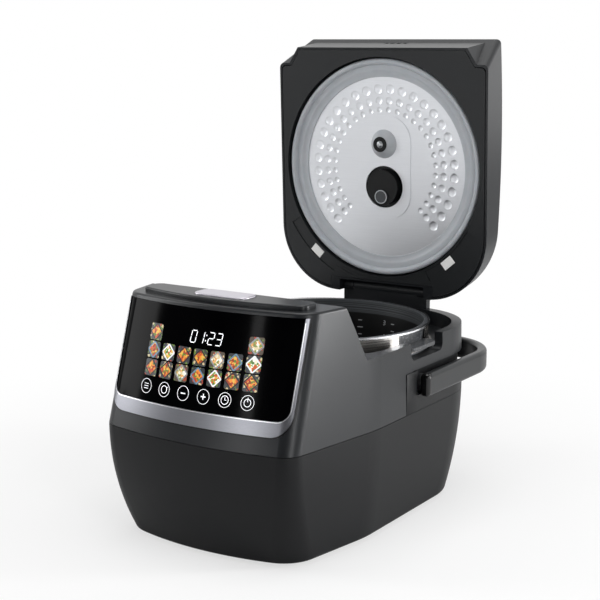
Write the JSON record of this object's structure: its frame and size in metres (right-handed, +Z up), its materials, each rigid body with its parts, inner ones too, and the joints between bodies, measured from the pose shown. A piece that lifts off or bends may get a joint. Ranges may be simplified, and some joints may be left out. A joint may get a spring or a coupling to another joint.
{
  "type": "electric multicooker",
  "caption": "Electric multicooker with a hinged lid standing open, lift-out bowl, pull-off inner lid, sloping touch panel, push-button latch and a swinging carrying handle.",
  "frame": {"origin": "on the table under the middle of the overall box, with the lid open", "axes": "+Z up, the touch panel faces -Y, the hinge runs along X at the rear"},
  "size_m": [0.294, 0.4468, 0.5128],
  "materials": {
    "dark_plastic": "fine satin moulding",
    "graphite_plastic": "satin graphite paint",
    "liner_plastic": "fine matte moulding",
    "black_plastic": "matte black",
    "grey_rubber": "soft silicone",
    "satin_aluminium": "satin pressed sheet",
    "plain_steel": "plain steel",
    "brushed_ring": "brushed round its axis",
    "well_sheet": "dull galvanised sheet",
    "non_stick": "speckled non-stick coating",
    "cast_plate": "cast and turned",
    "black_rubber": "soft rubber",
    "board_green": "lacquered board",
    "pin_brass": "plain",
    "handle_plastic": "satin charcoal",
    "gloss_black": "high gloss",
    "silver_trim": "satin silver"
  },
  "bodies": {
    "housing": {"base_plate": "black_plastic", "base_screws": "plain_steel", "deck_cover": "graphite_plastic", "display_board": "board_green", "feet": "black_rubber", "handle_pivots": "plain_steel", "heater_plate": "cast_plate", "hinge_bracket": "liner_plastic", "hinge_pin": "plain_steel", "hinge_spring": "plain_steel", "inlet_pins": "pin_brass", "latch_pin": "plain_steel", "latch_spring": "plain_steel", "lower_housing": "dark_plastic", "mains_inlet": "black_plastic", "panel_trim": "silver_trim", "pot_well": "well_sheet", "power_board": "board_green", "rim_ring": "brushed_ring", "sensor_guide": "plain_steel", "sensor_spring": "plain_steel", "thermal_fuse": "plain_steel", "touch_panel": "gloss_black", "upper_housing": "graphite_plastic"},
    "lid": {"lid_shell": "graphite_plastic", "lid_liner": "liner_plastic", "lid_screws": "plain_steel", "lid_stud": "plain_steel", "steam_chamber": "black_plastic", "steam_disc": "grey_rubber"},
    "inner_lid": {"inner_plate": "satin_aluminium", "lid_gasket": "grey_rubber", "grommet": "grey_rubber"},
    "steam_valve": {"valve_cap": "black_plastic", "valve_seal": "grey_rubber"},
    "bowl": {"inner_bowl": "non_stick"},
    "handle": {"handle": "handle_plastic", "handle_caps": "gloss_black"},
    "button": {"open_button": "silver_trim"},
    "latch": {"latch_lever": "black_plastic"},
    "sensor": {"bowl_sensor": "cast_plate"}
  },
  "joints": [
    {"name": "lid_hinge", "type": "hinge", "parent": "housing", "child": "lid", "pos_m": [0, 0.18063, 0.2155], "axis": [-1, 0, 0], "range_deg": [-88, 0]},
    {"name": "inner_lid_pull", "type": "slide", "parent": "lid", "child": "inner_lid", "axis": [0, -0.9994, -0.0349], "range_m": [0, 0.014]},
    {"name": "valve_pull", "type": "slide", "parent": "lid", "child": "steam_valve", "axis": [0, 0.9994, 0.0349], "range_m": [0, 0.02]},
    {"name": "bowl_lift", "type": "slide", "parent": "housing", "child": "bowl", "axis": [0, 0, 1], "range_m": [0, 0.15]},
    {"name": "handle_swing", "type": "hinge", "parent": "housing", "child": "handle", "pos_m": [0, 0.02463, 0.15], "axis": [1, 0, 0], "range_deg": [0, 14]},
    {"name": "button_press", "type": "slide", "parent": "housing", "child": "button", "axis": [0, 0, 1], "range_m": [-0.003, 0], "stiffness_N_per_m": 600, "springref_m": 0.002},
    {"name": "latch_pivot", "type": "hinge", "parent": "housing", "child": "latch", "pos_m": [0, -0.12137, 0.19], "axis": [1, 0, 0], "range_deg": [0, 5.64], "deforming": ["latch_spring"]},
    {"name": "sensor_press", "type": "slide", "parent": "housing", "child": "sensor", "axis": [0, 0, 1], "range_m": [-0.002, 0], "stiffness_N_per_m": 1000, "springref_m": 0.001, "deforming": ["sensor_spring"]}
  ],
  "couplings": [
    {"joint": "latch_pivot", "follows": "button_press", "rad_per_m": -32.258}
  ]
}
